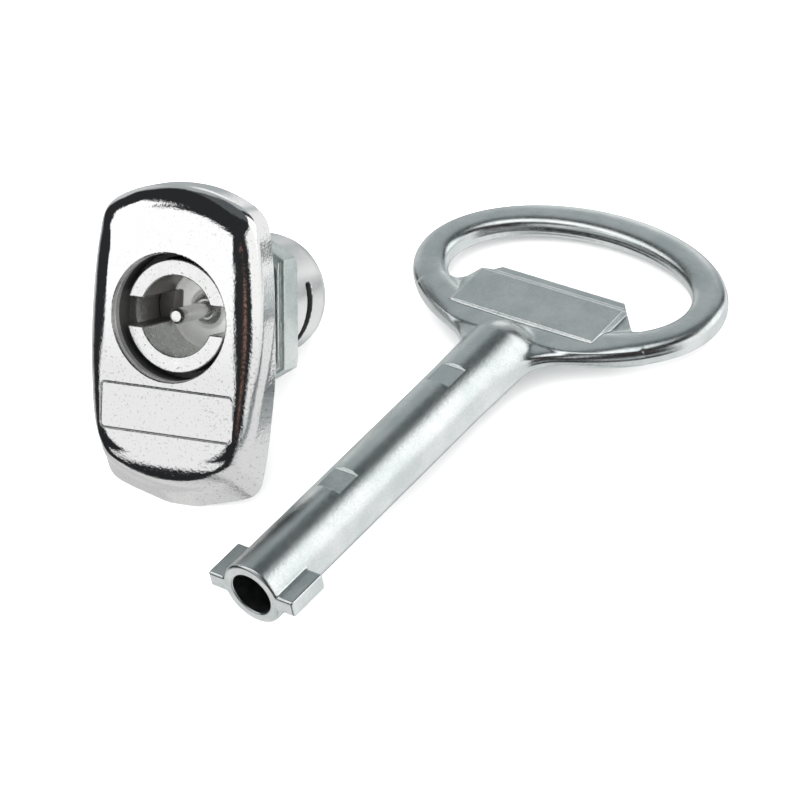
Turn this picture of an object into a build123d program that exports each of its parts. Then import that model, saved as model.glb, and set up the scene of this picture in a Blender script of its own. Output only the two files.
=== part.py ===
from build123d import *
import math
import os

os.makedirs("parts", exist_ok=True)

# ---- driving dimensions, mm and degrees ----
# placement: origin at the middle of the bounding box on the table, +Z up, lock facing -Y
off_x, off_y = -27.25, -22.57        # lowest rear edge of the escutcheon
lean = 35.2                          # the lock rests on its escutcheon edge and the rear screw
seat = 6.4                           # escutcheon depth at its rear face
foot_z = 28.93                       # lowest point of the escutcheon below the barrel axis

# escutcheon
edge_r = 2.6
cb_r, cb_depth = 9.5, 5.2            # round recess in the face
label_x, label_z0, label_z1 = 11.1, -17.43, -10.48
# barrel
thread_r, thread_start, thread_end, thread_pitch = 10.0, 9.4, 15.2, 1.0
barrel_r, barrel_end, rim_r = 9.5, 32.4, 9.0
core_r, head_bore_r, head_bore_end = 7.5, 8.47, 12.45
slot_y0, slot_y1, slot_top = 25.7, 27.2, 3.1
# rotor
ring_y, head_r, head_end = 2.29, 8.42, 12.3
body_r, body_end, shank_end = 7.44, 30.0, 35.5
recess_r, recess_floor, keyway_half = 6.02, 12.0, 2.15
pin_r = 1.2
ball_r, ball_path, ball_y = 1.5, 6.45, 19.0
# nut
nut_af, nut_y0, nut_y1, nut_turn = 28.0, 8.8, 14.0, 3.0
# key
tip_dx, tip_dy, yaw, pitch = 25.411, -23.526, 12.721, -5.2
tube_r, tube_bore, tube_depth = 5.0, 3.35, 55.0
dome_y = 59.6                        # the tube rests here, the bow on its far edge
bit_x, bit_t, bit_l = 7.68, 1.31, 6.95
bow_a, bow_b, bow_y, bow_w, bow_h = 24.12, 14.29, 78.49, 2.87, 1.9

# ---- frames ----
c, s = math.cos(math.radians(lean)), math.sin(math.radians(lean))
P0 = (off_x, off_y + foot_z * s - seat * c, foot_z * c + seat * s)
back = (0, c, -s)
F = Plane(origin=P0, x_dir=(1, 0, 0), z_dir=(0, -c, s))     # (right, up), depth is -offset
R = Plane(origin=P0, x_dir=back, z_dir=(1, 0, 0))           # (depth, up)
H = Plane(origin=P0, x_dir=back, z_dir=(0, -s, -c))         # (depth, right)
AX = Axis(P0, back)

ya, pa = math.radians(yaw), math.radians(pitch)
kv = Vector(math.cos(ya), -math.sin(ya), 0)
ku = Vector(math.sin(ya) * math.cos(pa), math.cos(ya) * math.cos(pa), math.sin(pa))
K = Plane(
    origin=(off_x + tip_dx, off_y + tip_dy, tube_r - dome_y * math.sin(pa)),
    x_dir=kv,
    z_dir=kv.cross(ku),
)                                                            # (right, along the tube)
KR = Plane(origin=K.origin, x_dir=ku, z_dir=kv)              # (along the tube, up)
KT = Plane(origin=K.origin, x_dir=kv, z_dir=-ku)             # tube section
KAX = Axis(K.origin, ku)


def mirror_points(points):
    return [(-x, z) for x, z in reversed(points)]


# ---- housing: escutcheon ----
side = [(12.68, 14.87), (13.09, 12.22), (13.7, 8.15), (14.21, 2.55), (14.31, -2.55), (14.06, -7.13),
        (13.6, -12.22), (13.09, -16.81), (12.33, -19.66), (11.1, -21.6), (9.37, -22.82)]
with BuildPart() as shell:
    with BuildSketch(F.offset(-seat)):
        with BuildLine():
            ThreePointArc((-side[0][0], side[0][1]), (0, 19.4), side[0])
            Spline(*side)
            ThreePointArc(side[-1], (0, -24.75), (-side[-1][0], side[-1][1]))
            Spline(*mirror_points(side))
        make_face()
    extrude(amount=seat)
    corner = shell.edges().filter_by(Axis(P0, back)).sort_by(Axis(P0, (0, s, c)))[-2:]
    fillet(corner, 2.2)
    front = shell.faces().sort_by(AX)[0]
    fillet(front.edges(), edge_r)

skirt_front = [(2.55, -23.82), (5.7, -23.28), (8.35, -22.21), (9.98, -21.09), (11.21, -19.25),
               (11.92, -16.3), (12.22, -12.73), (12.28, -8.66), (12.22, -4.07), (12.12, 0.81),
               (11.82, 5.09), (11.1, 9.68), (8.76, 13.85), (5.3, 15.69), (2.55, 16.3)]
skirt_back = [(2.55, -28.93), (7.33, -27.66), (10.8, -26.54), (12.53, -25.57), (13.4, -23.63),
              (14.01, -18.34), (14.47, -13.24), (14.72, -8.66), (14.62, -4.07), (14.21, 0.81),
              (13.55, 5.09), (12.22, 10.19), (9.58, 14.47), (5.7, 16.71), (2.55, 17.32)]
with BuildPart() as skirt:
    for depth, pts in ((0.8, skirt_front), (seat, skirt_back)):
        with BuildSketch(F.offset(-depth)):
            with BuildLine():
                Line((0, pts[0][1]), pts[0])
                Spline(*pts, tangents=[(1, 0), (-1, 0)])
                Line(pts[-1], (0, pts[-1][1]))
                Line((0, pts[-1][1]), (0, pts[0][1]))
            make_face()
    loft(ruled=True)
    mirror(about=R)

thread = [(seat - 0.5, 0), (seat - 0.5, thread_r)]
n_thread = int((thread_end - thread_start) / thread_pitch)
for i in range(n_thread):
    y = thread_start + i * thread_pitch
    thread += [(y, thread_r), (y + 0.44, thread_r - 0.54), (y + 0.56, thread_r - 0.54)]
    thread += [(y + 0.98, thread_r)]
thread += [(thread_end - 0.35, thread_r), (thread_end, barrel_r + 0.2), (thread_end, barrel_r),
           (barrel_end - 1.4, barrel_r), (barrel_end - 0.2, rim_r + 0.15),
           (barrel_end, rim_r - 0.1), (barrel_end, 0)]

with BuildPart() as housing:
    add(shell.part)
    add(skirt.part)
    with BuildSketch(R):
        with BuildLine():
            Polyline(*thread, close=True)
        make_face()
    revolve(axis=AX)
    # stepped bore
    with BuildSketch(R):
        with BuildLine():
            Polyline(
                (-1, 0), (-1, cb_r + 0.3), (0, cb_r + 0.3), (0.3, cb_r), (cb_depth, cb_r),
                (cb_depth, head_bore_r), (head_bore_end, head_bore_r),
                (head_bore_end, core_r), (barrel_end + 1, core_r), (barrel_end + 1, 0),
                close=True,
            )
        make_face()
    revolve(axis=AX, mode=Mode.SUBTRACT)
    # gasket pocket in the rear face
    with BuildSketch(F.offset(-seat)):
        Circle(12.25)
        Circle(10.25, mode=Mode.SUBTRACT)
    extrude(amount=0.65, mode=Mode.SUBTRACT)
    # clip slot
    with BuildSketch(F.offset(-slot_y1)):
        with BuildLine():
            Polyline((-10.5, slot_top), (-10.5, -10.5), (10.5, -10.5), (10.5, slot_top),
                     close=True)
        make_face()
    extrude(amount=slot_y1 - slot_y0, mode=Mode.SUBTRACT)
    # stop pocket: the lug of the stop washer turns in it
    a0, a1 = math.radians(-21), math.radians(111)
    am = (a0 + a1) / 2
    with BuildSketch(F.offset(-barrel_end)):
        with BuildLine():
            Polyline((0, 0), (8.45 * math.cos(a0), 8.45 * math.sin(a0)))
            ThreePointArc(
                (8.45 * math.cos(a0), 8.45 * math.sin(a0)),
                (8.45 * math.cos(am), 8.45 * math.sin(am)),
                (8.45 * math.cos(a1), 8.45 * math.sin(a1)),
            )
            Polyline((8.45 * math.cos(a1), 8.45 * math.sin(a1)), (0, 0))
        make_face()
    extrude(amount=barrel_end - 29.75, mode=Mode.SUBTRACT)
    # ball grooves, a quarter turn each
    for sign in (1, -1):
        with BuildSketch(H):
            with Locations((ball_y, sign * ball_path)):
                Circle(ball_r + 0.05)
        revolve(axis=AX, revolution_arc=90, mode=Mode.SUBTRACT)
        for end in (H.from_local_coords((ball_y, sign * ball_path, 0)),
                    R.from_local_coords((ball_y, -sign * ball_path, 0))):
            with Locations(end):
                Sphere(ball_r + 0.05, mode=Mode.SUBTRACT)
    # label field, left bare
    with BuildSketch(F):
        with Locations((0, (label_z0 + label_z1) / 2)):
            RectangleRounded(2 * label_x, label_z1 - label_z0, 0.7)
    extrude(amount=-0.22, mode=Mode.SUBTRACT)
    with BuildSketch(F.offset(-0.1)):
        with Locations((0, (label_z0 + label_z1) / 2)):
            RectangleRounded(2 * label_x, label_z1 - label_z0, 0.7)
            RectangleRounded(2 * label_x - 0.6, label_z1 - label_z0 - 0.6, 0.4,
                             mode=Mode.SUBTRACT)
    extrude(amount=-0.3, mode=Mode.SUBTRACT)
housing.part.label = "housing"
export_step(housing.part, "parts/housing.step")

with BuildPart() as panel_gasket:
    with BuildSketch(F.offset(-seat)):
        Circle(12.2)
        Circle(10.3, mode=Mode.SUBTRACT)
    extrude(amount=0.6)
panel_gasket.part.label = "panel_gasket"
export_step(panel_gasket.part, "parts/panel_gasket.step")

# ---- mounting nut ----
with BuildPart() as hex_nut:
    with BuildSketch(F.offset(-nut_y1)):
        RegularPolygon(nut_af / 2, 6, major_radius=False, rotation=30 + nut_turn)
    extrude(amount=nut_y1 - nut_y0 - 0.9)
    with BuildSketch(F.offset(-nut_y0 - 0.9)):
        RegularPolygon(nut_af / 2 - 0.55, 6, major_radius=False, rotation=30 + nut_turn)
    extrude(amount=0.9)
    with BuildSketch(R):
        with BuildLine():
            Polyline((nut_y0 - 1, 0), (nut_y0 - 1, 14.9), (nut_y0, 14.9), (nut_y0 + 1.2, 16.9),
                     (nut_y1 - 0.7, 16.9), (nut_y1, 15.4), (nut_y1 + 1, 15.4),
                     (nut_y1 + 1, 0), close=True)
        make_face()
    revolve(axis=AX, mode=Mode.INTERSECT)
    with BuildSketch(R):
        with BuildLine():
            Polyline((nut_y0 - 1, 0), (nut_y0 - 1, 10.6), (nut_y0, 10.6), (nut_y0 + 0.55, 10.05),
                     (nut_y1 - 0.55, 10.05), (nut_y1, 10.6), (nut_y1 + 1, 10.6),
                     (nut_y1 + 1, 0), close=True)
        make_face()
    revolve(axis=AX, mode=Mode.SUBTRACT)
hex_nut.part.label = "hex_nut"
export_step(hex_nut.part, "parts/hex_nut.step")

# ---- rotor ----
with BuildPart() as rotor:
    with BuildSketch(R):
        with BuildLine():
            Polyline(
                (ring_y, 0), (ring_y, head_r - 0.2), (ring_y + 0.2, head_r), (head_end, head_r),
                (head_end, body_r), (14.0, body_r), (14.0, 6.46), (15.4, 6.46), (15.4, body_r),
                (25.8, body_r), (25.8, 5.5), (27.1, 5.5), (27.1, body_r),
                (body_end, body_r), (body_end, 0), close=True,
            )
        make_face()
    revolve(axis=AX)
    with BuildSketch(F.offset(-shank_end)):
        RectangleRounded(7.0, 7.0, 0.5)
    extrude(amount=shank_end - body_end)
    # recess with a low boss round the pin
    with BuildSketch(R):
        with BuildLine():
            Polyline((ring_y - 1, 0), (ring_y - 1, recess_r + 0.15), (ring_y, recess_r + 0.15),
                     (ring_y + 0.15, recess_r), (recess_floor - 0.3, recess_r),
                     (recess_floor, recess_r - 0.3), (recess_floor, 2.7),
                     (recess_floor - 1.1, 1.75), (recess_floor - 1.1, 0), close=True)
        make_face()
    revolve(axis=AX, mode=Mode.SUBTRACT)
    # bit slots
    with BuildSketch(F.offset(-recess_floor)):
        for sign in (1, -1):
            with Locations((sign * 7.0, 0)):
                Rectangle(4.4, 2 * keyway_half)
    extrude(amount=recess_floor, mode=Mode.SUBTRACT)
    # pin seat
    with BuildSketch(F.offset(-16.2)):
        Circle(pin_r)
    extrude(amount=16.2 - (recess_floor - 2), mode=Mode.SUBTRACT)
    # cross bore for the balls
    with BuildSketch(Plane(origin=R.from_local_coords((ball_y, 0, -9)), x_dir=back,
                           z_dir=(1, 0, 0))):
        Circle(ball_r + 0.05)
    extrude(amount=18, mode=Mode.SUBTRACT)
    # screw hole
    with BuildSketch(F.offset(-shank_end)):
        Circle(2.5)
    extrude(amount=shank_end - 23.2, mode=Mode.SUBTRACT)
rotor.part.label = "rotor"
export_step(rotor.part, "parts/rotor.step")

with BuildPart() as centre_pin:
    with BuildSketch(R):
        with BuildLine():
            Polyline((16.0, 0), (16.0, pin_r - 0.2), (15.8, pin_r), (2.75, pin_r), (2.47, 1.08),
                     (2.32, 0.8), (ring_y, 0.5), (ring_y, 0), close=True)
        make_face()
    revolve(axis=AX)
centre_pin.part.label = "centre_pin"
export_step(centre_pin.part, "parts/centre_pin.step")

with BuildPart() as rotor_o_ring:
    with BuildSketch(R):
        with Locations((14.7, 6.97)):
            Circle(0.5)
    revolve(axis=AX)
rotor_o_ring.part.label = "rotor_o_ring"
export_step(rotor_o_ring.part, "parts/rotor_o_ring.step")

# ---- retaining clip, pushed in from below ----
with BuildPart() as retaining_clip:
    with BuildSketch(F.offset(-26.95)):
        Circle(8.6)
        Circle(5.6, mode=Mode.SUBTRACT)
        with Locations((0, 7.8)):
            Rectangle(20, 10, mode=Mode.SUBTRACT)
    extrude(amount=1.0)
retaining_clip.part.label = "retaining_clip"
export_step(retaining_clip.part, "parts/retaining_clip.step")

# ---- detent ----
with BuildPart() as detent_ball_left:
    with Locations(H.from_local_coords((ball_y, -ball_path, 0))):
        Sphere(ball_r)
detent_ball_left.part.label = "detent_ball_left"
export_step(detent_ball_left.part, "parts/detent_ball_left.step")

with BuildPart() as detent_ball_right:
    with Locations(H.from_local_coords((ball_y, ball_path, 0))):
        Sphere(ball_r)
detent_ball_right.part.label = "detent_ball_right"
export_step(detent_ball_right.part, "parts/detent_ball_right.step")

with BuildPart() as detent_spring:
    with BuildLine():
        turns = Helix(pitch=0.98, height=9.8, radius=1.05,
                      center=R.from_local_coords((ball_y, 0, -4.9)), direction=(1, 0, 0))
    with BuildSketch(Plane(origin=turns @ 0, z_dir=turns % 0)):
        Circle(0.2)
    sweep(path=turns, is_frenet=True)
detent_spring.part.label = "detent_spring"
export_step(detent_spring.part, "parts/detent_spring.step")

# ---- rear stack ----
with BuildPart() as stop_washer:
    b0, b1 = math.radians(70), math.radians(110)
    with BuildSketch(F.offset(-31.2)):
        Circle(7.35)
        with BuildLine():
            Polyline((0, 0), (8.3 * math.cos(b0), 8.3 * math.sin(b0)))
            ThreePointArc((8.3 * math.cos(b0), 8.3 * math.sin(b0)), (0, 8.3),
                          (8.3 * math.cos(b1), 8.3 * math.sin(b1)))
            Polyline((8.3 * math.cos(b1), 8.3 * math.sin(b1)), (0, 0))
        make_face()
        RectangleRounded(7.1, 7.1, 0.45, mode=Mode.SUBTRACT)
    extrude(amount=1.2)
stop_washer.part.label = "stop_washer"
export_step(stop_washer.part, "parts/stop_washer.step")

with BuildPart() as plain_washer:
    with BuildSketch(F.offset(-36.5)):
        Circle(5.5)
        Circle(2.65, mode=Mode.SUBTRACT)
    extrude(amount=1.0)
plain_washer.part.label = "plain_washer"
export_step(plain_washer.part, "parts/plain_washer.step")

with BuildPart() as spring_washer:
    with BuildSketch(F.offset(-37.6)):
        Circle(4.6)
        Circle(2.65, mode=Mode.SUBTRACT)
        with Locations(Location((3.6, 0.4), 20)):
            Rectangle(3.4, 0.5, mode=Mode.SUBTRACT)
    extrude(amount=1.1)
spring_washer.part.label = "spring_washer"
export_step(spring_washer.part, "parts/spring_washer.step")

with BuildPart() as cam_screw:
    with BuildSketch(F.offset(-41.35)):
        RegularPolygon(4.0, 6, major_radius=False, rotation=30)
    extrude(amount=3.75)
    with BuildSketch(R):
        with BuildLine():
            Polyline((36.9, 0), (36.9, 4.0), (37.6, 4.0), (37.9, 5.05), (40.42, 5.05),
                     (41.35, 4.14), (42.0, 4.14), (42.0, 0), close=True)
        make_face()
    revolve(axis=AX, mode=Mode.INTERSECT)
    with BuildSketch(R):
        with BuildLine():
            Polyline((25.2, 0), (25.2, 2.1), (25.6, 2.48), (37.7, 2.48), (37.7, 0), close=True)
        make_face()
    revolve(axis=AX)
cam_screw.part.label = "cam_screw"
export_step(cam_screw.part, "parts/cam_screw.step")

# ---- key ----
neck = [(4.6, 52.0), (5.05, 55.2), (5.9, 58.3), (8.05, 60.8), (10.6, 62.35), (13.3, 63.6)]


def bow_edges(part, half):
    got = []
    for edge in part.edges():
        local = [K.to_local_coords(edge @ t) for t in (0.1, 0.5, 0.9)]
        if all(abs(abs(p.Z) - half) < 1e-4 for p in local) and max(p.Y for p in local) > 52.5:
            got.append(edge)
    return got


with BuildPart() as bow:
    with BuildSketch(K.offset(-bow_h)):
        with Locations((0, bow_y)):
            Ellipse(bow_a + bow_w, bow_b + bow_w)
        with BuildLine():
            Spline(*neck, tangents=[(0.05, 1), (0.9, 0.42)])
            Polyline(neck[-1], (0, 68), (-neck[-1][0], neck[-1][1]))
            Spline(*mirror_points(neck), tangents=[(0.9, -0.42), (0.05, -1)])
            Line((-4.6, 52.0), (4.6, 52.0))
        make_face()
        with Locations((0, bow_y)):
            Ellipse(bow_a - bow_w, bow_b - bow_w, mode=Mode.SUBTRACT)
    extrude(amount=2 * bow_h)
    fillet(bow_edges(bow, bow_h), bow_h - 0.1)

with BuildPart() as key:
    add(bow.part)
    # flat field under the pad, both faces
    for sign in (1, -1):
        with BuildSketch(K.offset(sign * 1.3)):
            with Locations((0, 68.5)):
                Rectangle(28.4, 16.5)
        extrude(amount=sign * 2, taper=-30, mode=Mode.SUBTRACT)
    # web across the opening
    with BuildSketch(K.offset(-0.75)):
        with BuildLine():
            Polyline((-11, 77.4), (11, 77.4), (16.6, 71.0), (14, 68.5), (7, 65), (-7, 65),
                     (-14, 68.5), (-16.6, 71.0), close=True)
        make_face()
    extrude(amount=1.5)
    # raised pads, left bare
    for sign in (1, -1):
        with BuildSketch(K.offset(sign * 0.5)):
            with Locations((0, 70.49)):
                Rectangle(28.4, 10.6)
        extrude(amount=sign * 1.02, taper=49)
    # tube with a round end
    with BuildSketch(KR):
        with BuildLine():
            Polyline((0, 0), (0, tube_r - 0.35), (0.35, tube_r), (dome_y, tube_r))
            ThreePointArc((dome_y, tube_r),
                          (dome_y + tube_r * math.sin(math.radians(45)),
                           tube_r * math.cos(math.radians(45))),
                          (dome_y + tube_r, 0))
            Polyline((dome_y + tube_r, 0), (0, 0))
        make_face()
    revolve(axis=KAX)
    # bits
    with BuildSketch(KT):
        RectangleRounded(2 * bit_x, 2 * bit_t, 0.45)
    extrude(amount=-bit_l)
    # bore
    with BuildSketch(KR):
        with BuildLine():
            Polyline((-1, 0), (-1, tube_bore + 0.25), (0, tube_bore + 0.25),
                     (0.25, tube_bore), (tube_depth, tube_bore),
                     (tube_depth + 1.6, 0), close=True)
        make_face()
    revolve(axis=KAX, mode=Mode.SUBTRACT)
    # shallow flats on top of the tube
    for y0, y1 in ((19.2, 23.7), (45.75, 50.1)):
        with BuildSketch(K.offset(tube_r - 0.46)):
            with Locations((0, (y0 + y1) / 2)):
                Rectangle(6, y1 - y0)
        extrude(amount=2, mode=Mode.SUBTRACT)
key.part.label = "key"
export_step(key.part, "parts/key.step")
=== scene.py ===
import math

import bpy
import numpy as np
from mathutils import Matrix, Vector


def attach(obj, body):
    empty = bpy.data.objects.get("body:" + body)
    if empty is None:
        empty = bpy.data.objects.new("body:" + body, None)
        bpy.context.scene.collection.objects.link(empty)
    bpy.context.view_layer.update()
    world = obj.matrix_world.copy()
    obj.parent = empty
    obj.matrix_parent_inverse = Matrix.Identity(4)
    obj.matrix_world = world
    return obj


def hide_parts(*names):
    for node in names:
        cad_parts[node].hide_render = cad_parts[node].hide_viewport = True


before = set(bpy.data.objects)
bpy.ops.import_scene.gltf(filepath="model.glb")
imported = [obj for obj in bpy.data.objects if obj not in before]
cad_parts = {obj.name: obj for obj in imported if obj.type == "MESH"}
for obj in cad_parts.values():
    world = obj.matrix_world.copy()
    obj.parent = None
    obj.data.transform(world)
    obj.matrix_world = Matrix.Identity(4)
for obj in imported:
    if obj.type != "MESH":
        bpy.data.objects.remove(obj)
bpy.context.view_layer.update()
scene = bpy.context.scene

# ------------------------------------------------------------------ frames, mm
LEAN, SEAT, FOOT = 35.2, 6.4, 28.93
OFF = np.array([-27.25, -22.57, 0.0])
cl, sl = math.cos(math.radians(LEAN)), math.sin(math.radians(LEAN))
P0 = OFF + np.array([0, FOOT * sl - SEAT * cl, FOOT * cl + SEAT * sl])
LX, LY, LZ = np.array([1.0, 0, 0]), np.array([0, cl, -sl]), np.array([0, sl, cl])
LOCK = np.column_stack([LX, LY, LZ])                    # columns: right, depth, up
YAW, PITCH, DOME = math.radians(12.721), math.radians(-5.2), 59.6
KV = np.array([math.cos(YAW), -math.sin(YAW), 0])
KU = np.array([math.sin(YAW) * math.cos(PITCH), math.cos(YAW) * math.cos(PITCH), math.sin(PITCH)])
KN = np.cross(KV, KU)
KEY = np.column_stack([KV, KU, KN])
K0 = OFF + np.array([25.411, -23.526, 5 - DOME * math.sin(PITCH)])


# ------------------------------------------------------------------ distance fields
def smin(a, b, k):
    h = np.maximum(k - np.abs(a - b), 0) / k
    return np.minimum(a, b) - h * h * k * 0.25


def smax(a, b, k):
    return -smin(-a, -b, k)


def rbox(q1, q2, r):
    """Rounded corner between two signed distances."""
    a, b = q1 + r, q2 + r
    return np.minimum(np.maximum(a, b), 0) + np.hypot(np.maximum(a, 0), np.maximum(b, 0)) - r


def rrect(x, y, hx, hy, r):
    a, b = np.abs(x) - hx + r, np.abs(y) - hy + r
    return np.minimum(np.maximum(a, b), 0) + np.hypot(np.maximum(a, 0), np.maximum(b, 0)) - r


def step(a, b, x):
    t = np.clip((x - a) / (b - a), 0, 1)
    return t * t * (3 - 2 * t)


def chunked(f, p, n=400000):
    out = np.empty(len(p))
    for i in range(0, len(p), n):
        q = p[i:i + n]
        out[i:i + n] = f(q[:, 0], q[:, 1], q[:, 2])
    return out


def surface(f, lo, hi, h, rounds=6):
    """Closed quad mesh of f = 0 in the box, one vertex a cell, pulled on to the surface."""
    axes = [np.arange(a - h * 1.5, b + h * 2.5, h) for a, b in zip(lo, hi)]
    nx, ny, nz = (len(a) for a in axes)
    V = np.empty((nx, ny, nz), np.float32)
    Y, Z = np.meshgrid(axes[1], axes[2], indexing="ij")
    block = max(1, int(600000 / (ny * nz)))
    for i in range(0, nx, block):
        xs = axes[0][i:i + block]
        X = np.broadcast_to(xs[:, None, None], (len(xs), ny, nz))
        V[i:i + block] = f(X, Y[None], Z[None])
    S = V < 0
    count = np.zeros((nx - 1, ny - 1, nz - 1), np.int8)
    for a in (0, 1):
        for b in (0, 1):
            for c in (0, 1):
                count += S[a:nx - 1 + a, b:ny - 1 + b, c:nz - 1 + c]
    act = (count > 0) & (count < 8)
    cells = np.argwhere(act)
    index = np.full(act.shape, -1, np.int64)
    index[act] = np.arange(len(cells))
    corner = {}
    for a in (0, 1):
        for b in (0, 1):
            for c in (0, 1):
                corner[a, b, c] = V[cells[:, 0] + a, cells[:, 1] + b, cells[:, 2] + c].astype(float)
    total = np.zeros((len(cells), 3))
    number = np.zeros(len(cells))
    for p, va in corner.items():
        for ax in range(3):
            if p[ax]:
                continue
            q = list(p)
            q[ax] = 1
            vb = corner[tuple(q)]
            cross = (va < 0) != (vb < 0)
            t = np.where(cross, va / np.where(cross, va - vb, 1), 0)
            pos = np.zeros((len(cells), 3))
            for k in range(3):
                pos[:, k] = p[k]
            pos[:, ax] = t
            total += pos * cross[:, None]
            number += cross
    verts = (cells + total / number[:, None]) * h + np.array([a[0] for a in axes])
    faces = []
    for ax, (u, w) in enumerate(((1, 2), (2, 0), (0, 1))):
        a = [slice(None)] * 3
        b = [slice(None)] * 3
        a[ax], b[ax] = slice(0, -1), slice(1, None)
        sa, sb = S[tuple(a)], S[tuple(b)]
        for flip, mask in ((False, sa & ~sb), (True, ~sa & sb)):
            e = np.argwhere(mask)
            e = e[(e[:, u] > 0) & (e[:, w] > 0)
                  & (e[:, u] < act.shape[u]) & (e[:, w] < act.shape[w])]
            c00 = e.copy()
            c10, c01, c11 = e.copy(), e.copy(), e.copy()
            c10[:, u] -= 1
            c01[:, w] -= 1
            c11[:, u] -= 1
            c11[:, w] -= 1
            ids = [index[tuple(c.T)] for c in (c00, c10, c11, c01)]
            quad = np.column_stack(ids)
            if flip:
                quad = quad[:, ::-1]
            faces.append(quad[(quad >= 0).all(1)])
    faces = np.concatenate(faces)
    for _ in range(rounds):
        d = chunked(f, verts)
        g = gradient(f, verts, 0.01)
        n2 = np.maximum((g * g).sum(1), 0.05)
        move = -(d / n2)[:, None] * g
        size = np.linalg.norm(move, axis=1)
        move *= (np.minimum(size, 0.35 * h) / np.maximum(size, 1e-12))[:, None]
        verts = verts + move
    # corners that met at a crease part again: a small step along the surface to the neighbours
    g = gradient(f, verts, 0.01)
    unit = g / np.maximum(np.linalg.norm(g, axis=1), 1e-9)[:, None]
    near = np.zeros_like(verts)
    links = np.zeros(len(verts))
    for a, b in ((0, 1), (1, 2), (2, 3), (3, 0)):
        for s, t in ((a, b), (b, a)):
            for k in range(3):
                near[:, k] += np.bincount(faces[:, s], verts[faces[:, t], k], len(verts))
            links += np.bincount(faces[:, s], minlength=len(verts))
    drift = near / np.maximum(links, 1)[:, None] - verts
    drift -= (drift * unit).sum(1)[:, None] * unit
    verts = verts + 0.06 * drift
    g = gradient(f, verts, 0.02)
    normals = g / np.maximum(np.linalg.norm(g, axis=1), 1e-9)[:, None]
    return verts, faces, normals


def gradient(f, p, e):
    g = np.empty_like(p)
    for k in range(3):
        d = np.zeros(3)
        d[k] = e
        g[:, k] = (chunked(f, p + d) - chunked(f, p - d)) / (2 * e)
    return g


def make_object(name, parts, basis, origin, material, body, nodes):
    """parts: list of (verts, faces, normals) in local mm."""
    vs, fs, ns, base = [], [], [], 0
    for v, f, n in parts:
        vs.append(v)
        fs.append(f + base)
        ns.append(n)
        base += len(v)
    v = np.concatenate(vs)
    f = np.concatenate(fs)
    n = np.concatenate(ns) @ basis.T
    world = (v @ basis.T + origin) / 1000.0
    mesh = bpy.data.meshes.new(name)
    mesh.vertices.add(len(world))
    mesh.vertices.foreach_set("co", world.astype(np.float32).ravel())
    mesh.loops.add(len(f) * 4)
    mesh.loops.foreach_set("vertex_index", f.astype(np.int32).ravel())
    mesh.polygons.add(len(f))
    mesh.polygons.foreach_set("loop_start", (np.arange(len(f)) * 4).astype(np.int32))
    mesh.update(calc_edges=True)
    mesh.validate()
    # where the piece is, in its own millimetres, for the procedural materials
    attr = mesh.attributes.new("own", "FLOAT_VECTOR", "POINT")
    attr.data.foreach_set("vector", v.astype(np.float32).ravel())
    mesh.polygons.foreach_set("use_smooth", np.ones(len(mesh.polygons), bool))
    mesh.normals_split_custom_set_from_vertices([tuple(x) for x in n])
    obj = bpy.data.objects.new(name, mesh)
    scene.collection.objects.link(obj)
    mesh.materials.append(material)
    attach(obj, body)
    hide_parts(*nodes)
    return obj


# ------------------------------------------------------------------ outlines
def radial(points, centre, samples=2880, smooth=7):
    """Periodic radius against angle from mirrored half-outline points, cubic and lightly smoothed."""
    half = np.array(points, float)
    other = half[::-1] * np.array([-1, 1])
    if abs(half[0, 0]) < 1e-9:
        other = other[:-1]
    if abs(half[-1, 0]) < 1e-9:
        other = other[1:]
    loop = np.concatenate([half, other])
    n = len(loop)
    ext = np.concatenate([loop[-3:], loop, loop[:3]])
    seg = np.linalg.norm(np.diff(ext, axis=0), axis=1)
    t = np.concatenate([[0], np.cumsum(np.sqrt(seg))])
    out = []
    for i in range(3, 3 + n):
        p = ext[i - 1:i + 3]
        tt = t[i - 1:i + 3]
        s = np.linspace(tt[1], tt[2], 60, endpoint=False)[:, None]
        a1 = (tt[1] - s) / (tt[1] - tt[0]) * p[0] + (s - tt[0]) / (tt[1] - tt[0]) * p[1]
        a2 = (tt[2] - s) / (tt[2] - tt[1]) * p[1] + (s - tt[1]) / (tt[2] - tt[1]) * p[2]
        a3 = (tt[3] - s) / (tt[3] - tt[2]) * p[2] + (s - tt[2]) / (tt[3] - tt[2]) * p[3]
        b1 = (tt[2] - s) / (tt[2] - tt[0]) * a1 + (s - tt[0]) / (tt[2] - tt[0]) * a2
        b2 = (tt[3] - s) / (tt[3] - tt[1]) * a2 + (s - tt[1]) / (tt[3] - tt[1]) * a3
        out.append((tt[2] - s) / (tt[2] - tt[1]) * b1 + (s - tt[1]) / (tt[2] - tt[1]) * b2)
    curve = np.concatenate(out) - np.array(centre)
    ang = np.arctan2(curve[:, 1], curve[:, 0])
    rad = np.hypot(curve[:, 0], curve[:, 1])
    order = np.argsort(ang)
    ang, rad = ang[order], rad[order]
    ang = np.concatenate([ang - 2 * np.pi, ang, ang + 2 * np.pi])
    rad = np.concatenate([rad] * 3)
    grid = np.linspace(-np.pi, np.pi, samples, endpoint=False)
    r = np.interp(grid, ang, rad)
    if smooth:
        k = np.exp(-0.5 * (np.arange(-3 * smooth, 3 * smooth + 1) / smooth) ** 2)
        k /= k.sum()
        r = np.convolve(np.concatenate([r[-3 * smooth:], r, r[:3 * smooth]]), k, "valid")
    return r


def lookup(table, theta):
    """Cubic read of a periodic table against the angle."""
    n = len(table)
    x = (theta + np.pi) / (2 * np.pi) * n
    i = np.floor(x).astype(int)
    f = x - i
    a, b, c, d = (table[(i + k) % n] for k in (-1, 0, 1, 2))
    return b + 0.5 * f * (c - a + f * (2 * a - 5 * b + 4 * c - d + f * (3 * (b - c) + d - a)))


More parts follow.
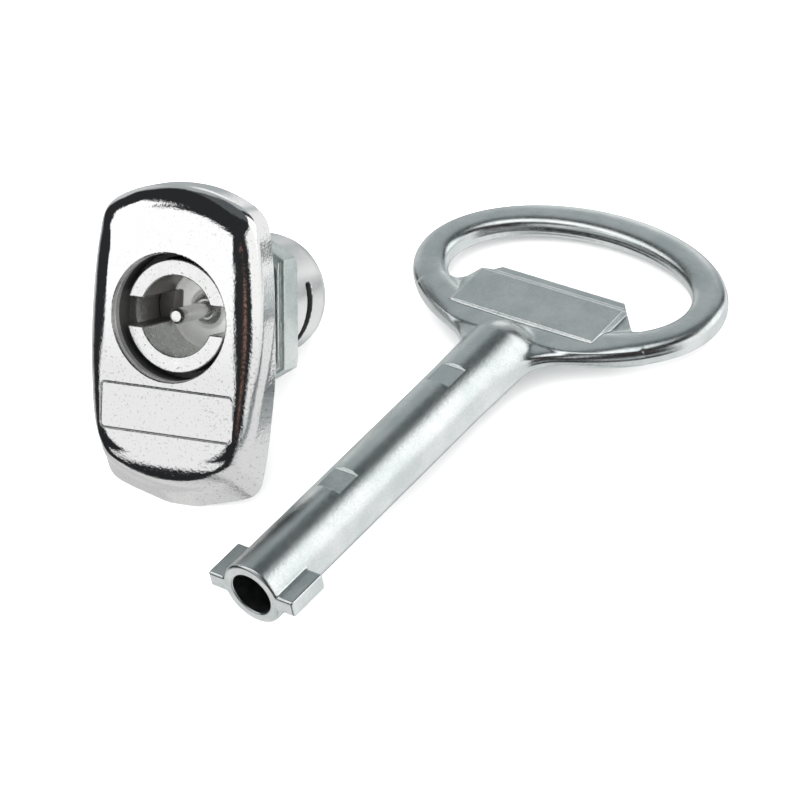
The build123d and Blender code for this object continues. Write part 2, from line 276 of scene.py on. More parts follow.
CENTRE = (0.0, -3.0)
BLOCK = [(0, 19.4), (4.5, 19.0), (8.5, 17.75), (11.2, 16.3), (12.35, 15.2), (12.9, 13.6),
         (13.15, 11.8), (13.7, 8.15), (14.15, 3.0), (14.3, -2.0), (14.15, -6.5), (13.75, -10.5),
         (13.35, -14.2), (12.95, -17.0), (12.25, -19.6), (11.1, -21.4), (9.3, -22.85),
         (6.2, -24.1), (3.0, -24.75), (0, -24.95)]
SKIRT0 = [(0, 16.3), (5.3, 15.7), (8.8, 13.9), (11.0, 10.5), (11.7, 6.0), (12.1, 1.0),
          (12.3, -4.0), (12.35, -8.7), (12.35, -12.7), (12.2, -16.0), (11.75, -18.7),
          (10.6, -20.7), (8.7, -22.1), (5.8, -23.35), (2.6, -23.95), (0, -24.1)]
SKIRT1 = [(0, 17.3), (5.7, 16.7), (9.6, 14.5), (12.2, 10.2), (13.55, 5.1), (14.21, 0.81),
          (14.6, -4.0), (14.72, -8.7), (14.47, -13.2), (14.05, -18.3), (13.45, -23.0),
          (12.9, -25.0), (11.9, -26.1), (9.9, -26.95), (7.3, -27.66), (4.6, -28.35),
          (2.4, -28.86), (0, -28.92)]
T_BLOCK = radial(BLOCK, CENTRE, smooth=22)
T_SK0 = radial(SKIRT0, CENTRE, smooth=18)
T_SK1 = radial(SKIRT1, CENTRE, smooth=9)


def escutcheon(x, y, z):
    rho = np.hypot(x - CENTRE[0], z - CENTRE[1])
    th = np.arctan2(z - CENTRE[1], x - CENTRE[0])
    e = 0.004
    ra = lookup(T_BLOCK, th)
    slope = (lookup(T_BLOCK, th + e) - lookup(T_BLOCK, th - e)) / (2 * e) / np.maximum(ra, 1)
    da = (rho - ra) / np.sqrt(1 + slope * slope)
    # the front edge is rounded most on the upper sides and least at the lower corners
    low = np.exp(-((z + 15.0) / 5.0) ** 2) * step(6.0, 12.5, np.abs(x))
    mid = np.exp(-((z - 1.0) / 7.0) ** 2) * step(8.0, 11.5, np.abs(x))
    r = 2.8 - 0.3 * low + 0.25 * mid
    # and it starts softly, further in on the top, the upper sides and the bottom
    wide = 1.12 + 0.38 * step(-10.0, -3.0, z) + 0.33 * step(-13.0, -24.5, z)
    a = rbox(da / wide, -y, r)
    t = (y - 0.8) / (SEAT - 0.8)
    t = np.clip(t, -0.4, 1.2)
    r0, r1 = lookup(T_SK0, th), lookup(T_SK1, th)
    rb = r0 + (r1 - r0) * t
    rise = (r1 - r0) / (SEAT - 0.8)
    slope1 = (lookup(T_SK1, th + e) - lookup(T_SK1, th - e)) / (2 * e) / np.maximum(rb, 1)
    db = (rho - rb) / np.sqrt(1 + rise * rise + slope1 * slope1)
    db = smax(db, 0.45 - y, 0.5)
    soft = 0.16 + 1.1 * step(-19.5, -22.5, z)
    body = smin(a, db, soft)
    body = smax(body, y - SEAT, 0.12)
    # round recess
    axis = np.hypot(x, z)
    body = smax(body, -np.maximum(axis - 9.52, y - 5.2), 0.14)
    body = np.maximum(body, -(axis - 8.47))
    # thin raised rim line inside the mouth
    body = smin(body, np.hypot(axis - 9.56, y - 0.95) - 0.16, 0.1)
    body = smax(body, 0.12 - np.hypot(axis - 9.6, y - 0.36), 0.08)
    # gasket pocket
    body = np.maximum(body, -np.maximum(np.maximum(10.25 - axis, axis - 12.25), 5.75 - y))
    # label field, left bare: shallow floor with a fine line round it
    q = rrect(x, z + 13.955, 11.1, 3.475, 0.8)
    body = smax(body, -smax(q, y - 0.13, 0.1), 0.1)
    body = smax(body, 0.09 - np.hypot(q + 0.08, y - 0.12), 0.05)
    return body


def barrel(x, y, z):
    axis = np.hypot(x, z)
    ph = np.mod(y - 9.4, 1.0)
    groove = np.clip(0.62 - np.abs(ph - 0.5) * 1.24, 0, 0.54)
    on = step(9.3, 9.5, y) * step(15.2, 15.0, y)
    rr = 10.0 - groove * on
    d = axis - rr
    d = np.where(y > 15.2, 99.0, d)
    rear = smax(axis - 9.5, (axis - 9.5 + (y - 31.0) * 0.29) * 0.96, 0.1)
    rear = smax(rear, y - 32.4, 0.25)
    rear = smax(rear, 0.16 - np.hypot(axis - 9.56, y - 30.95), 0.06)
    d = np.minimum(d, rear)
    d = np.maximum(d, 5.9 - y)
    bore = np.where(y < 12.45, axis - 8.47, axis - 7.5)
    d = np.maximum(d, -bore)
    d = smax(d, -(axis - 7.5 - 0.35 + (32.4 - y)), 0.1)
    slot = smax(np.abs(y - 26.45) - 0.75, z - 3.1, 0.35)
    d = smax(d, -slot, 0.18)
    th = np.arctan2(z, x)
    mid, half = math.radians(45), math.radians(66)
    w = (np.abs(np.mod(th - mid + np.pi, 2 * np.pi) - np.pi) - half) * axis
    pocket = np.maximum(np.maximum(axis - 8.45, w), 29.75 - y)
    d = smax(d, -pocket, 0.1)
    for s in (1, -1):
        path = np.hypot(axis - 6.45, y - 19.0) - 1.55
        a = np.arctan2(-s * z, s * x)
        lim = (np.abs(a - math.pi / 4) - math.pi / 4) * 6.45
        d = np.maximum(d, -np.maximum(path, lim - 1.2))
    return d


def rotor_field(x, y, z):
    axis = np.hypot(x, z)
    head = np.maximum(rbox(axis - 8.42, 2.29 - y, 0.22), y - 12.3)
    body = np.maximum(np.maximum(axis - 7.44, 10.0 - y), y - 30.0)
    d = np.minimum(head, body)
    groove = np.maximum(np.abs(y - 14.7) - 0.7, 6.46 - axis)
    d = np.maximum(d, -groove)
    clip = np.maximum(np.abs(y - 26.45) - 0.65, 5.5 - axis)
    d = np.maximum(d, -clip)
    shank = np.maximum(rrect(x, z, 3.5, 3.5, 0.5), np.maximum(28.0 - y, y - 35.5))
    d = np.minimum(d, shank)
    floor = 12.0 + 0.0 * x
    boss = (axis - 1.75 - np.maximum(y - 10.9, 0) * 0.9)
    boss = smax(boss, 10.9 - y, 0.3)
    cavity = smax(axis - 6.02, y - floor, 0.5)
    cavity = smax(cavity, -boss, 0.5)
    d = smax(d, -cavity, 0.16)
    slots = np.maximum(np.abs(z) - 2.15, np.maximum(4.8 - np.abs(x), y - 12.0))
    slots = np.maximum(slots, np.abs(x) - 9.2)
    d = smax(d, -slots, 0.16)
    d = np.maximum(d, -np.maximum(axis - 1.2, np.maximum(10.0 - y, y - 16.2)))
    d = np.maximum(d, -(np.hypot(y - 19.0, z) - 1.55))
    d = np.maximum(d, -np.maximum(axis - 2.5, 23.2 - y))
    return d


NUT0, NUT1, NUTAF, NUTTURN = 8.8, 14.0, 28.0, math.radians(3.0)


def nut_field(x, y, z):
    axis = np.hypot(x, z)
    hexa = np.full_like(axis, -99.0)
    for k in range(6):
        a = NUTTURN + k * math.pi / 3
        hexa = smax(hexa, x * math.cos(a) + z * math.sin(a), 0.12)
    front = np.maximum(hexa - NUTAF / 2 + 0.55, y - NUT0 - 1.2)
    front = smax(front, NUT0 - y, 0.25)
    rear = smax(hexa - NUTAF / 2, NUT0 + 0.9 - y, 0.12)
    rear = smax(rear, y - NUT1, 0.15)
    d = np.minimum(front, rear)
    cone = (axis - 15.4 - (NUT1 - y) * 1.9) * 0.47
    d = smax(d, cone, 0.1)
    cone = (axis - 14.9 - (y - NUT0) * 1.67) * 0.51
    d = smax(d, cone, 0.1)
    d = smax(d, -(axis - 10.05), 0.2)
    return d


# ------------------------------------------------------------------ key
BA, BB, BY, BW, BH = 24.12, 14.29, 78.49, 2.87, 1.9


def ellipse(x, y, a, b):
    u, v = x / a, (y - BY) / b
    g = np.sqrt(u * u + v * v) + 1e-6
    grad = np.hypot(u / a, v / b) / g + 1e-6
    return (g - 1) / grad


NECK_Y = np.array([40, 50, 52, 53.6, 55.2, 56.8, 58.3, 59.6, 60.8, 61.6, 62.35, 63.0, 63.4, 64.2, 66, 70.0])
NECK_W = np.array([1.5, 2.4, 3.7, 4.6, 5.05, 5.45, 5.95, 6.85, 8.05, 9.2, 10.45, 11.6, 12.3, 13.6, 16.5, 21.0])
_ny = np.linspace(40, 70, 1201)
_nw = np.interp(_ny, NECK_Y, NECK_W)
_k = np.exp(-0.5 * (np.arange(-60, 61) / 20.0) ** 2)
_nw = np.convolve(np.pad(_nw, 60, mode="edge"), _k / _k.sum(), "valid")
_ns = np.gradient(_nw, _ny)


def key_field(x, y, z):
    ax = np.abs(x)
    az = np.abs(z)
    axis = np.hypot(x, z)
    tube = np.where(y < DOME, axis - 5.0, np.sqrt(axis ** 2 + (y - DOME) ** 2) - 5.0)
    # bow and neck in plan
    ring_out = ellipse(x, y, BA + BW, BB + BW)
    w = np.interp(y, _ny, _nw)
    s = np.interp(y, _ny, _ns)
    neck = (ax - w) / np.sqrt(1 + s * s)
    neck = np.maximum(neck, np.maximum(50.0 - y, y - 66.5))
    plan = smin(ring_out, neck, 1.6)
    hole = ellipse(x, y, BA - BW, BB - BW)
    plan = np.maximum(plan, -hole)
    # the section is rounded all round, with a fine parting line at mid height
    plan = plan + 0.1 - 0.07 * np.exp(-(z / 0.2) ** 2)
    flat = step(19.0, 10.5, ax) * step(76.0, 67.5, y) * step(56.0, 62.5, y)
    h = BH - 0.54 * flat
    u = np.maximum(1 + plan / BW, 0)
    t = az / h
    n = 3.0 + 0.5 * flat
    val = u ** n + t ** n
    grad = np.hypot(n * u ** (n - 1) / BW, n * t ** (n - 1) / h)
    bow = (val - 1) / np.maximum(grad, 0.45)
    # web with its sloping shoulders
    edge = np.maximum(y - 77.4, (ax - 11.3) * 0.742 + (y - 77.4) * 0.67)
    web = smax(np.maximum(edge, 63.5 - y), az - 0.75, 0.35)
    web = smax(web, ring_out + 0.9, 0.2)
    d = smin(bow, web, 1.3)
    # raised pads
    rise = 1.75 - np.maximum(az, 0.85)
    px = np.where(x > 0, (ax - 13.01 - rise * 0.35) * 0.94, (ax - 13.01 - rise * 2.1) * 0.43)
    py = (y - 74.59 - rise * 1.5) * 0.55
    pad = smax(smax(px, py, 0.12), np.maximum((66.4 - y - rise * 1.1) * 0.7, az - 1.75), 0.06)
    pad = smax(pad, edge + 0.12, 0.1)
    d = smin(d, pad, 0.1)
    d = smin(d, tube, 1.7)
    # bits
    bit = smax(rrect(x, z, 7.68, 1.31, 0.35), y - 6.95, 0.35)
    d = smin(d, bit, 0.35)
    d = smax(d, -y, 0.45)
    # shallow flats, the far end of each run out on a slope
    for c, hw in ((21.45, 2.25), (47.92, 2.18)):
        far = (y - c - hw - (z - 5.0) * 0.65) * 0.84
        cut = np.maximum(4.54 - z, np.maximum(far, c - hw - y))
        d = smax(d, -cut, 0.06)
    bore = np.maximum(axis - 3.35, (y - 55.0) * 0.902 + (axis - 3.35) * 0.431)
    d = smax(d, -bore, 0.22)
    return d


# ------------------------------------------------------------------ materials
class Nodes:
    def __init__(self, name):
        self.mat = bpy.data.materials.new(name)
        self.mat.use_nodes = True
        self.t = self.mat.node_tree
        self.b = self.t.nodes["Principled BSDF"]

    def new(self, kind, **values):
        n = self.t.nodes.new(kind)
        for k, v in values.items():
            if hasattr(n, k) and k not in n.inputs:
                setattr(n, k, v)
            else:
                n.inputs[k].default_value = v
        return n

    def link(self, a, b):
        self.t.links.new(a, b)

    def coords(self, scale=1.0):
        """Object coordinates in millimetres."""
        tc = self.new("ShaderNodeTexCoord")
        m = self.new("ShaderNodeVectorMath", operation="SCALE")
        m.inputs["Scale"].default_value = 1000.0 * scale
        self.link(tc.outputs["Object"], m.inputs[0])
        return m.outputs[0]

    def noise(self, co, scale, detail=2.0, rough=0.5, distortion=0.0):
        n = self.new("ShaderNodeTexNoise")
        n.inputs["Scale"].default_value = scale
        n.inputs["Detail"].default_value = detail
        n.inputs["Roughness"].default_value = rough
        n.inputs["Distortion"].default_value = distortion
        self.link(co, n.inputs["Vector"])
        return n.outputs[0]

    def ramp(self, fac, stops):
        r = self.new("ShaderNodeValToRGB")
        while len(r.color_ramp.elements) < len(stops):
            r.color_ramp.elements.new(0.5)
        for e, (p, c) in zip(r.color_ramp.elements, stops):
            e.position = p
            e.color = (*c, 1) if len(c) == 3 else c
        self.link(fac, r.inputs[0])
        return r.outputs[0]

    def map(self, value, a, b, c, d):
        m = self.new("ShaderNodeMapRange")
        for k, v in zip((1, 2, 3, 4), (a, b, c, d)):
            m.inputs[k].default_value = v
        self.link(value, m.inputs[0])
        return m.outputs[0]

    def math(self, op, a, b):
        m = self.new("ShaderNodeMath", operation=op)
        for i, v in enumerate((a, b)):
            if isinstance(v, (int, float)):
                m.inputs[i].default_value = v
            else:
                self.link(v, m.inputs[i])
        return m.outputs[0]

    def mix(self, fac, a, b):
        m = self.new("ShaderNodeMix", data_type="RGBA")
        if isinstance(fac, (int, float)):
            m.inputs[0].default_value = fac
        else:
            self.link(fac, m.inputs[0])
        for i, v in ((6, a), (7, b)):
            if isinstance(v, tuple):
                m.inputs[i].default_value = (*v, 1)
            else:
                self.link(v, m.inputs[i])
        return m.outputs[2]

    def bump(self, height, strength, distance, previous=None):
        b = self.new("ShaderNodeBump")
        b.inputs["Strength"].default_value = strength
        b.inputs["Distance"].default_value = distance
        self.link(height, b.inputs["Height"])
        if previous is not None:
            self.link(previous, b.inputs["Normal"])
        return b.outputs[0]


def metal(name, light, dark, rough, fine, coarse, speck=0.0, wave=0.0, metallic=1.0,
          span=(0.30, 0.68), pit=(6.5, 0.66, 0.76)):
    """A plated metal: colour drifting between two tints, pitted micro relief, uneven gloss."""
    n = Nodes(name)
    co = n.coords()
    big = n.noise(co, 0.16, 3.0, 0.55)
    small = n.noise(co, 3.2, 4.0, 0.62)
    tone = n.math("MULTIPLY_ADD", big, 0.65)
    n.t.nodes[-1].inputs[2].default_value = 0.0
    both = n.math("ADD", tone, n.math("MULTIPLY", small, 0.35))
    colour = n.ramp(both, [(span[0], dark), (span[1], light)])
    if speck:
        pits = n.noise(co, pit[0], 2.0, 0.5)
        mask = n.map(pits, pit[1], pit[2], 0.0, speck)
        colour = n.mix(mask, colour, tuple(c * 0.35 for c in dark))
    n.link(colour, n.b.inputs["Base Color"])
    gloss = n.noise(co, 1.1, 3.0, 0.6)
    n.link(n.map(gloss, 0.3, 0.7, rough[0], rough[1]), n.b.inputs["Roughness"])
    n.b.inputs["Metallic"].default_value = metallic
    normal = None
    if wave:
        normal = n.bump(n.noise(co, 0.22, 2.0, 0.4), wave, 0.0002, normal)
    if coarse:
        normal = n.bump(n.noise(co, 1.6, 3.0, 0.55), coarse, 0.00005, normal)
    if fine:
        normal = n.bump(n.noise(co, 7.0, 3.0, 0.6), fine, 0.00002, normal)
    if normal is not None:
        n.link(normal, n.b.inputs["Normal"])
    return n.mat


def chrome(name):
    """Bright plating over a casting, pitted in random patches; painted shade makes the colour and the pits
    darker below the recess and towards the right.
    """
    n = Nodes(name)
    co = n.coords()
    at = n.new("ShaderNodeAttribute", attribute_name="own")
    sp = n.new("ShaderNodeSeparateXYZ")
    n.link(at.outputs["Vector"], sp.inputs[0])
    # painted shade: low darkens the base colour towards the bottom of the face; low and right also darken the
    # pits towards the bottom and the right
    low = n.map(sp.outputs[2], 3.0, -8.0, 0.0, 0.8)
    right = n.map(sp.outputs[0], 2.0, 11.0, 0.0, 0.35)
    patch = n.map(n.noise(co, 0.24, 2.0, 0.5), 0.42, 0.62, 0.0, 0.4)
    # wear_and_shade: random worn patches plus that painted shade; it sets how dark the pits are, the gloss and
    # the relief
    wear_and_shade = n.math("MINIMUM", n.math("ADD", n.math("ADD", low, right), patch), 1.2)
    hole = n.map(n.noise(co, 2.3, 4.0, 0.6), 0.585, 0.66, 0.0, 1.0)
    # painted shade: the base colour is darker towards the bottom
    tone = n.mix(low, (0.86, 0.86, 0.86), (0.66, 0.66, 0.665))
    dull = n.math("MULTIPLY", n.math("MULTIPLY", hole, wear_and_shade), 0.42)
    n.link(n.mix(dull, tone, (0.25, 0.25, 0.26)), n.b.inputs["Base Color"])
    n.link(n.map(n.math("MULTIPLY", wear_and_shade, n.noise(co, 1.3, 3.0, 0.6)), 0.0, 0.8, 0.03, 0.08),
           n.b.inputs["Roughness"])
    n.b.inputs["Metallic"].default_value = 1.0
    pits = n.noise(co, 2.6, 3.0, 0.55, 0.2)
    height = n.math("MULTIPLY", pits, n.math("ADD", n.math("MULTIPLY", wear_and_shade, 0.8), 0.2))
    normal = n.bump(height, 0.6, 0.00006)
    normal = n.bump(n.noise(co, 0.55, 2.0, 0.5), 0.35, 0.00006, normal)
    n.link(normal, n.b.inputs["Normal"])
    return n.mat


M = {
    "escutcheon_chrome": chrome("escutcheon_chrome"),
    "recess_casting": metal("recess_casting", (0.58, 0.58, 0.57), (0.26, 0.26, 0.26),
                            (0.38, 0.55), 0.9, 1.0, speck=0.7, metallic=0.72),
    "rotor_inner": metal("rotor_inner", (0.74, 0.75, 0.73), (0.50, 0.51, 0.50),
                         (0.22, 0.34), 0.7, 0.6, speck=0.45, metallic=0.9),
    # painted light: a near-white, half-diffuse copy of the rotor metal so the cavity floor reads lighter than
    # its walls
    "rotor_floor_painted_light": metal("rotor_floor_painted_light", (0.95, 0.96, 0.94), (0.80, 0.81, 0.79),
                         (0.30, 0.42), 0.8, 0.8, speck=0.6, metallic=0.5),
    # painted shade: a near-black copy of the metal for the deep gap inside the recess, the rotor head's side
    # in it and the barrel's clip slot
    "deep_painted_shade": metal("deep_painted_shade", (0.16, 0.16, 0.16), (0.07, 0.07, 0.07),
                         (0.45, 0.6), 0.7, 0.5, speck=0.3, metallic=0.8),
    # painted shade: a dark copy of the rotor metal for the shaded upper wall of the key cavity and the left
    # bit slot
    "slot_painted_shade": metal("slot_painted_shade", (0.30, 0.29, 0.285), (0.18, 0.175, 0.17),
                       (0.30, 0.45), 0.5, 0.5, speck=0.3, metallic=0.85),
    "barrel_plating": metal("barrel_plating", (0.84, 0.845, 0.84), (0.74, 0.75, 0.745),
                            (0.27, 0.36), 0.10, 0.06),
    "rotor_plating": metal("rotor_plating", (0.84, 0.84, 0.84), (0.72, 0.72, 0.72),
                           (0.12, 0.22), 0.70, 0.80, speck=0.75, pit=(2.6, 0.64, 0.71)),
    "key_zinc": metal("key_zinc", (0.78, 0.81, 0.81), (0.64, 0.69, 0.69),
                      (0.18, 0.27), 0.9, 0.35, speck=0.45, span=(0.40, 0.61)),
    "nut_zinc": metal("nut_zinc", (0.84, 0.89, 0.87), (0.60, 0.68, 0.66),
                      (0.30, 0.42), 1.2, 2.2, speck=1.0, span=(0.40, 0.60)),
    "pin_steel": metal("pin_steel", (0.85, 0.85, 0.84), (0.70, 0.70, 0.70),
                       (0.12, 0.2), 0.2, 0.1),
    "hardware_steel": metal("hardware_steel", (0.60, 0.62, 0.62), (0.44, 0.46, 0.47),
                            (0.22, 0.34), 0.35, 0.2, speck=0.2),
    "ball_steel": metal("ball_steel", (0.76, 0.76, 0.77), (0.68, 0.68, 0.70),
                        (0.05, 0.09), 0.03, 0.0),
    "spring_steel": metal("spring_steel", (0.24, 0.245, 0.25), (0.14, 0.145, 0.15),
                          (0.2, 0.3), 0.2, 0.1),
}


def rubber(name):
    n = Nodes(name)
    co = n.coords()
    n.link(n.ramp(n.noise(co, 1.4, 4.0, 0.6), [(0.35, (0.012, 0.012, 0.013)),
                                              (0.7, (0.03, 0.03, 0.031))]),
           n.b.inputs["Base Color"])
    n.link(n.map(n.noise(co, 3.0, 3.0, 0.6), 0.3, 0.7, 0.5, 0.7), n.b.inputs["Roughness"])
    n.link(n.bump(n.noise(co, 9.0, 2.0, 0.5), 0.3, 0.00003), n.b.inputs["Normal"])
    return n.mat


M["seal_rubber"] = rubber("seal_rubber")

for node, mat in {"panel_gasket": "seal_rubber", "rotor_o_ring": "seal_rubber",
                  "retaining_clip": "spring_steel", "detent_ball_left": "ball_steel",
                  "detent_ball_right": "ball_steel", "detent_spring": "spring_steel",
                  "stop_washer": "hardware_steel", "plain_washer": "hardware_steel",
                  "spring_washer": "hardware_steel", "cam_screw": "hardware_steel",
                  "centre_pin": "pin_steel"}.items():
    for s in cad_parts[node].material_slots:
        s.material = M[mat]

# ------------------------------------------------------------------ pieces
FINE = 1.0
esc = surface(escutcheon, (-14.9, 0, -29.0), (14.9, 6.5, 19.5), 0.16 * FINE)
bar = surface(barrel, (-10.1, 5.9, -10.1), (10.1, 32.5, 10.1), 0.2 * FINE)
housing = make_object("escutcheon_and_barrel", [esc, bar], LOCK, P0, M["escutcheon_chrome"],
                      "lock_body", ["housing"])
housing.data.materials.append(M["barrel_plating"])
own = np.empty(len(housing.data.vertices) * 3, np.float32)
housing.data.attributes["own"].data.foreach_get("vector", own)
own = own.reshape(-1, 3)
loops = np.empty(len(housing.data.polygons) * 4, np.int32)
housing.data.loops.foreach_get("vertex_index", loops)
centre = own[loops.reshape(-1, 4)].mean(axis=1)
depth = centre[:, 1]
radius = np.hypot(centre[:, 0], centre[:, 2])
housing.data.materials.append(M["recess_casting"])
housing.data.materials.append(M["deep_painted_shade"])
kind = ((depth > 6.45) | ((radius < 9.6) & (depth > 5.35))).astype(np.int32)
kind[(radius < 9.62) & (depth > 0.25) & (depth <= 3.3)] = 2
# painted shade: the deep part of the gap round the rotor head and the clip slot take the near-black material
kind[(radius < 9.62) & (depth > 2.15) & (depth <= 5.35)] = 3
kind[(depth > 25.4) & (depth < 27.5) & (radius < 9.465) & (radius > 7.4)] = 3
housing.data.polygons.foreach_set("material_index", kind)

rot = surface(rotor_field, (-8.5, 2.2, -8.5), (8.5, 35.6, 8.5), 0.14 * FINE)
core = make_object("rotor_core", [rot], LOCK, P0, M["rotor_plating"], "rotor", ["rotor"])
core.data.materials.append(M["rotor_inner"])
core.data.materials.append(M["slot_painted_shade"])
core.data.materials.append(M["deep_painted_shade"])
core.data.materials.append(M["rotor_floor_painted_light"])
loops = np.empty(len(core.data.polygons) * 4, np.int32)
core.data.loops.foreach_get("vertex_index", loops)
own = np.empty(len(core.data.vertices) * 3, np.float32)
core.data.attributes["own"].data.foreach_get("vector", own)
first = own.reshape(-1, 3)[loops.reshape(-1, 4)].mean(axis=1)
depth = first[:, 1]
reach = np.hypot(first[:, 0], first[:, 2])
kind = ((depth > 2.45) & (depth < 12.6)).astype(np.int32)
# painted shade: the rotor head's outer side, down in the gap, takes the near-black material
kind[(kind == 1) & (reach > 8.3)] = 3
# painted shade: the upper wall of the cavity takes the dark slot material
kind[(kind == 1) & (reach > 5.4) & (first[:, 2] > 2.2) & (depth < 11.6)] = 2
# painted light: the cavity floor round the pin takes the light floor material
kind[(kind == 1) & (depth > 11.6) & (reach < 6.3)] = 4
# painted shade: the left bit slot takes the dark slot material
kind[((kind == 1) | (kind == 4)) & (first[:, 0] < -4.3) & (np.abs(first[:, 2]) < 2.35)] = 2
core.data.polygons.foreach_set("material_index", kind)
nut = surface(nut_field, (-16.3, 8.7, -16.3), (16.3, 14.1, 16.3), 0.18 * FINE)
make_object("mounting_nut", [nut], LOCK, P0, M["nut_zinc"], "lock_body", ["hex_nut"])
key = surface(key_field, (-27.1, 0, -5.1), (27.1, 95.8, 5.1), 0.2 * FINE)
bow_key = make_object("double_bit_key", [key], KEY, K0, M["key_zinc"], "key", ["key"])

# ------------------------------------------------------------------ stage
bpy.ops.mesh.primitive_plane_add(size=3.0, location=(0, 0, -0.0001))
floor = bpy.context.object
floor.name = "floor"
fl = Nodes("floor_pale")
fl.b.inputs["Base Color"].default_value = (0.86, 0.86, 0.86, 1)
fl.b.inputs["Roughness"].default_value = 0.75
fl.b.inputs["Specular IOR Level"].default_value = 0.2
floor.data.materials.append(fl.mat)
floor.visible_glossy = False


def area(name, loc, target, size, power, colour=(1, 1, 1), glossy=False):
    light = bpy.data.lights.new(name, "AREA")
    light.shape = "RECTANGLE"
    light.size, light.size_y = size
    light.energy = power
    light.color = colour
    o = bpy.data.objects.new(name, light)
    scene.collection.objects.link(o)
    o.location = loc
    d = Vector(target) - Vector(loc)
    o.rotation_mode = "QUATERNION"
    o.rotation_quaternion = d.to_track_quat("-Z", "Y")
    o.visible_glossy = glossy
    o.visible_camera = False
    return o


area("top_soft", (0.0, 0.0, 0.8), (0, 0, 0), (1.6, 1.6), 22.0)
area("fill_right", (0.7, 0.0, 0.25), (0, 0, 0), (1.0, 0.5), 6.0)
area("fill_left", (-0.7, 0.0, 0.25), (0, 0, 0), (1.0, 0.5), 6.0)
area("fill_front", (0.0, -0.7, 0.25), (0, 0, 0), (1.0, 0.5), 6.0)
area("fill_back", (0.0, 0.7, 0.25), (0, 0, 0), (1.0, 0.5), 6.0)

# a long softbox overhead on the left, hung for the key alone
strip = area("key_strip", (-0.56, -0.02, 0.70), (-0.56, -0.0199, 0.0), (1.45, 0.42), 2.6, glossy=True)
strip.rotation_quaternion = (1, 0, 0, 0)
only_key = bpy.data.collections.new("lit_by_strip")
only_key.objects.link(bow_key)
strip.light_linking.receiver_collection = only_key

# studio walls as light and dark fields by direction
world = bpy.data.worlds.new("studio")
scene.world = world
world.use_nodes = True
wt = world.node_tree
for n in list(wt.nodes):
    wt.nodes.remove(n)
out = wt.nodes.new("ShaderNodeOutputWorld")
bg = wt.nodes.new("ShaderNodeBackground")
wt.links.new(bg.outputs[0], out.inputs[0])
tc = wt.nodes.new("ShaderNodeTexCoord")


def wmath(op, a, b=0.0, c=0.0, clamp=False):
    m = wt.nodes.new("ShaderNodeMath")
    m.operation = op
    m.use_clamp = clamp
    for i, v in enumerate((a, b, c)):
        if isinstance(v, (int, float)):
            m.inputs[i].default_value = v
        else:
            wt.links.new(v, m.inputs[i])
    return m.outputs[0]


sep = wt.nodes.new("ShaderNodeSeparateXYZ")
wt.links.new(tc.outputs["Generated"], sep.inputs[0])
dx, dy, dz = sep.outputs
azim = wmath("MULTIPLY", wmath("ARCTAN2", dx, wmath("MULTIPLY", dy, -1.0)), 180 / math.pi)
elev = wmath("MULTIPLY", wmath("ARCSINE", dz), 180 / math.pi)


def box_light(az, half_az, el0, el1, soft):
    """1 inside a box of directions, falling to 0 over soft degrees. Azimuth 0 is -Y, 90 is +X."""
    d = wmath("ABSOLUTE", wmath("WRAP", wmath("SUBTRACT", azim, az), 180.0, -180.0))
    def fade(v):
        m = wt.nodes.new("ShaderNodeMapRange")
        m.interpolation_type = "SMOOTHSTEP"
        m.inputs[1].default_value = -soft / 2
        m.inputs[2].default_value = soft / 2
        wt.links.new(v, m.inputs[0])
        return m.outputs[0]
    side = fade(wmath("SUBTRACT", half_az, d))
    lo = fade(wmath("SUBTRACT", elev, el0))
    hi = fade(wmath("SUBTRACT", el1, elev))
    return wmath("MULTIPLY", side, wmath("MULTIPLY", lo, hi))


total = None


def layer(mask, colour):
    """Blend the field so far towards a colour by a mask."""
    global total
    m = wt.nodes.new("ShaderNodeMix")
    m.data_type = "RGBA"
    m.clamp_factor = True
    wt.links.new(mask, m.inputs[0])
    if total is None:
        m.inputs[6].default_value = (0.026, 0.027, 0.029, 1)
    else:
        wt.links.new(total, m.inputs[6])
    m.inputs[7].default_value = (*colour, 1)
    total = m.outputs[2]


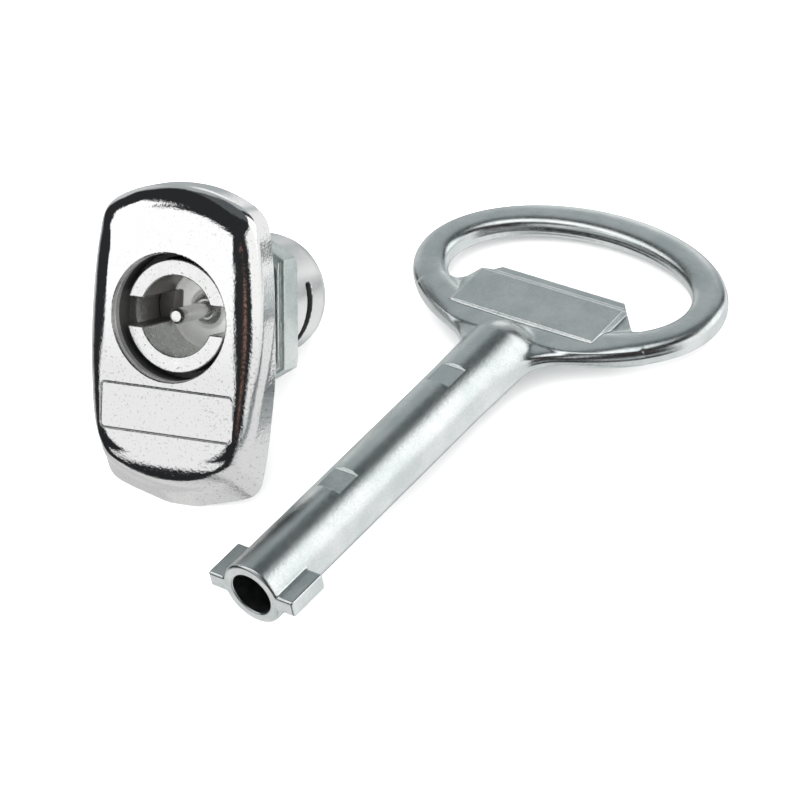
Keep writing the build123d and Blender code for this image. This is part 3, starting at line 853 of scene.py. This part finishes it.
layer(box_light(165, 55, 38, 92, 10), (0.10, 0.11, 0.115))         # ceiling behind
layer(box_light(-158, 34, -95, 40, 9), (0.42, 0.45, 0.46))      # rear left wall
layer(box_light(-157, 13, 34, 50, 7), (0.42, 0.45, 0.46))
layer(box_light(-128, 14, -20, 26, 9), (0.62, 0.64, 0.64))
layer(box_light(-164, 9, -10, 21, 7), (1.0, 1.0, 1.0))
layer(box_light(120, 62, -95, -3, 8), (0.95, 0.95, 0.95))          # table, right and rear
layer(box_light(28, 34, -95, -22, 14), (0.88, 0.88, 0.88))         # table, front right
layer(box_light(-31, 18, -95, -43, 8), (0.80, 0.80, 0.80))         # table, front
layer(box_light(-62, 17, -95, -25, 10), (0.90, 0.90, 0.89))        # table, front left
layer(box_light(-106, 30, -95, -13, 14), (0.72, 0.72, 0.72))       # table, left
layer(box_light(126, 24, -8, 40, 9), (1.38, 1.38, 1.38))           # softbox, right rear
layer(box_light(79, 26, -12, 33, 5), (1.05, 1.05, 1.04))           # window, right
layer(box_light(-29, 21, 9.5, 38, 3), (1.16, 1.16, 1.16))          # softbox, front left
layer(box_light(-53, 7, 18, 36, 3), (1.16, 1.16, 1.16))
layer(box_light(-57, 12, 31, 47, 5), (1.3, 1.3, 1.3))
layer(box_light(26, 5, 15, 26, 3), (0.30, 0.17, 0.13))             # warm strip by the camera
wt.links.new(total, bg.inputs["Color"])

# ------------------------------------------------------------------ camera
cam_data = bpy.data.cameras.new("camera")
cam_data.lens, cam_data.sensor_width = 157.5, 36.0
cam_data.clip_start, cam_data.clip_end = 0.01, 10
cam = bpy.data.objects.new("camera", cam_data)
scene.collection.objects.link(cam)
scene.camera = cam
right = Vector((0.8967930218885595, 0.38527711131578335, -0.21754039484231688))
up = Vector((-0.11816864703945971, 0.6823756125575132, 0.7213873399524157))
fwd = Vector((-0.42637829066317295, 0.62122867841313, -0.6574773626279666))
pos = (Vector((249.09640118859795, -300.4161929527794, 346.6295861630403)) + Vector(OFF)) / 1000
m = Matrix.Identity(4)
for i in range(3):
    m[i][0], m[i][1], m[i][2], m[i][3] = right[i], up[i], -fwd[i], pos[i]
cam.matrix_world = m

scene.view_settings.view_transform = "Standard"
scene.view_settings.look = "None"
